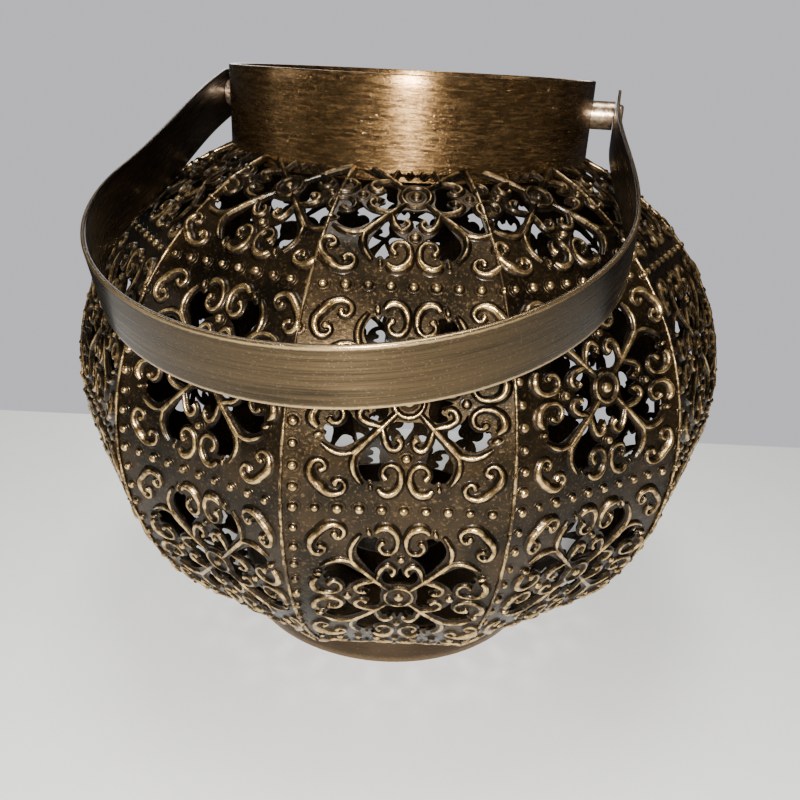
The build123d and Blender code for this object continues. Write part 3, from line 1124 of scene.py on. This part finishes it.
# %% Lay the strap's sections
edge_round = 0.3 * MM
worn_edge = 1.1 * MM                 # width over which the wear fades from the edge
half_width_strap = strap_width / 2
half_thick = strap_thickness / 2
quarter_arc = [(math.cos(a), math.sin(a)) for a in np.linspace(0, math.pi / 2, 4)]
section = []                         # (off the line, across, edge wear), once round
for off_sign, across_sign in ((1, 1), (-1, 1), (-1, -1), (1, -1)):
    arc = quarter_arc if off_sign * across_sign > 0 else quarter_arc[::-1]
    corner = []
    for cosine, sine in arc:
        off = off_sign * (half_thick - edge_round + edge_round * cosine)
        out = across_sign * (half_width_strap - edge_round + edge_round * sine)
        corner.append((off, out, 1.0))
    shoulder = (off_sign * half_thick, across_sign * (half_width_strap - worn_edge), 0.0)
    before = off_sign * across_sign > 0
    section += [shoulder] + corner if before else corner + [shoulder]

built = bmesh.new()
fields = {name: built.verts.layers.float.new(name) for name in ("along", "across", "inner", "edge")}
rings = []
for number, (point, travelled) in enumerate(zip(line, along)):
    before, after = line[max(number - 1, 0)], line[min(number + 1, len(line) - 1)]
    heading = (after - before) / np.linalg.norm(after - before)
    normal = np.array((heading[1], -heading[0]))
    past_pivot = max(point[1], 0)
    narrowing = math.sqrt(max(half_width_strap**2 - past_pivot**2, 0)) / half_width_strap
    ring = []
    for off, out, wear in section:
        spot = point + normal * off
        vert = built.verts.new((spot[0], spot[1], out * narrowing))
        vert[fields["along"]] = travelled
        vert[fields["across"]] = out
        vert[fields["inner"]] = 1.0 if off < 0 else 0.0
        vert[fields["edge"]] = wear
        ring.append(vert)
    rings.append(ring)
for ring, following in zip(rings, rings[1:]):
    for k in range(len(section)):
        after = (k + 1) % len(section)
        built.faces.new((ring[k], ring[after], following[after], following[k]))
built.faces.new(rings[0])
built.faces.new(rings[-1])
bmesh.ops.recalc_face_normals(built, faces=built.faces)
for face in built.faces:
    face.smooth = True
strap_mesh = bpy.data.meshes.new("strap_bail")
built.to_mesh(strap_mesh)
built.free()
strap_mesh.materials.append(brass)
strap_mesh.set_sharp_from_angle(angle=math.radians(60))
strap_mesh.transform(Matrix.Translation(pivot) @ Matrix.Rotation(rest_tilt, 4, "X"))
finished("strap_bail", strap_mesh, "bail", ["bail_handle"])
strap_spots = np.array([vert.co for vert in strap_mesh.vertices])
low_gap = strap_spots.min(0) - np.array(strap_low)
high_gap = strap_spots.max(0) - np.array(strap_high)
print("strap box off the CAD strap's by", low_gap, high_gap)

# %% [markdown]
# ## Pieces whose CAD shape is already right
#
# The rivets, bushes, washers, the floor plate and the candle cup are simple turned
# parts, and the CAD shape is the real shape. They stay as they are and only get their
# finish, put into the material slots they already have.

# %% Finishes for the CAD pieces
kept_finish = {"floor_plate": antique, "candle_cup": antique}
for side in ("right", "left"):
    for kind in ("pivot_rivet", "spacer_bush", "backing_washer"):
        kept_finish[f"{side}_{kind}"] = fitting
for node, finish in kept_finish.items():
    for material_slot in frame["nodes"][node].material_slots:
        material_slot.material = finish
print("kept", sorted(kept_finish))

# %% [markdown]
# ## Table, light and camera
#
# Dark metal is drawn by what it reflects. A large soft light above puts a bright line
# on the top of every bead, a smaller one behind the camera puts the broad glow in the
# middle of the collar, and the pale table lights the underside. The rest of the room is
# left dim so that the collar falls away to black at its sides.


# %% A plain table
camera_heading = math.radians(13.87)
table_reach = 0.30                   # to each side; beyond it the room is dim
table_near = 0.62
table_end = 0.108
table_corner = 0.02
corner_steps = 6
corner_angles = [math.pi / 2 * step / corner_steps for step in range(corner_steps + 1)]
table_left, table_right = table_corner - table_reach, table_reach - table_corner
table_front, table_back = table_corner - table_near, table_end - table_corner
corner_centres = (
    (table_right, table_back), (table_left, table_back),
    (table_left, table_front), (table_right, table_front),
)
outline = []
for quarter_turn, (x, y) in enumerate(corner_centres):
    for angle in corner_angles:
        angle += quarter_turn * math.pi / 2
        outline.append((x + table_corner * math.cos(angle), y + table_corner * math.sin(angle), 0))
table_mesh = bpy.data.meshes.new("table_top")
table_mesh.from_pydata(outline, [], [range(len(outline))])
table_finish = bpy.data.materials.new("pale_table")
table_finish.use_nodes = True
graph = Graph(table_finish.node_tree)
grain = noise(graph, graph.add("ShaderNodeTexCoord", out="Object"), 60.0)
colour = blend_colour(graph, grain, rgb(0.80, 0.81, 0.79), rgb(0.84, 0.85, 0.83))
values = {"Base Color": colour, "Roughness": 0.45, "Emission Color": colour, "Emission Strength": 0.12}
shader = graph.add("ShaderNodeBsdfPrincipled", {}, values)
graph.add("ShaderNodeOutputMaterial", {}, {"Surface": shader})
table_mesh.materials.append(table_finish)
table_mesh.transform(Matrix.Rotation(camera_heading, 4, "Z"))
new_object("table_top", table_mesh)
print("table", table_reach * 2, "by", table_near + table_end)

# %% Camera
camera_data = bpy.data.cameras.new("camera")
camera_data.sensor_width = 36
camera_data.lens = 34.22
camera_data.clip_start = 0.01
camera = new_object("camera", camera_data)
camera.matrix_world = Matrix((
    (0.96593, -0.14385, 0.21514, 0.05385),
    (0.25484, 0.38369, -0.88760, -0.21815),
    (0.04514, 0.91219, 0.40728, 0.16380),
    (0, 0, 0, 1),
))
bpy.context.scene.camera = camera


# %% Lights
def soft_light(name, place, target, size, power, colour=(1, 1, 1)):
    data = bpy.data.lights.new(name, "AREA")
    data.shape = "RECTANGLE"
    data.size, data.size_y = size
    data.energy = power
    data.color = colour
    light = new_object(name, data)
    light.location = place
    light.rotation_euler = (Vector(target) - Vector(place)).to_track_quat("-Z", "Y").to_euler()
    return light


middle = (0, 0, 0.08)
soft_light("overhead", (-0.02, 0.02, 0.80), middle, (0.24, 0.24), 3.0)
soft_light("above_camera", (0.085, -0.37, 0.245), middle, (0.045, 0.045), 4.1, (1.0, 0.98, 0.95))
soft_light("left_window", (-0.75, -0.35, 0.35), middle, (0.35, 0.35), 0.6, (0.95, 0.97, 1.0))
soft_light("back_fill", (-0.35, 0.75, 0.45), middle, (0.5, 0.4), 3.0)
world = bpy.data.worlds.new("room")
bpy.context.scene.world = world
world.use_nodes = True
graph = Graph(world.node_tree)
room = graph.add("ShaderNodeBackground", {}, {"Color": rgb(0.50, 0.50, 0.54), "Strength": 0.06})
wall = graph.add("ShaderNodeBackground", {}, {"Color": rgb(0.60, 0.60, 0.64), "Strength": 1.08})
seen = graph.add("ShaderNodeLightPath", out="Is Camera Ray")
both = graph.add("ShaderNodeMixShader", {}, {"Fac": seen, 1: room, 2: wall})
graph.add("ShaderNodeOutputWorld", {}, {"Surface": both})
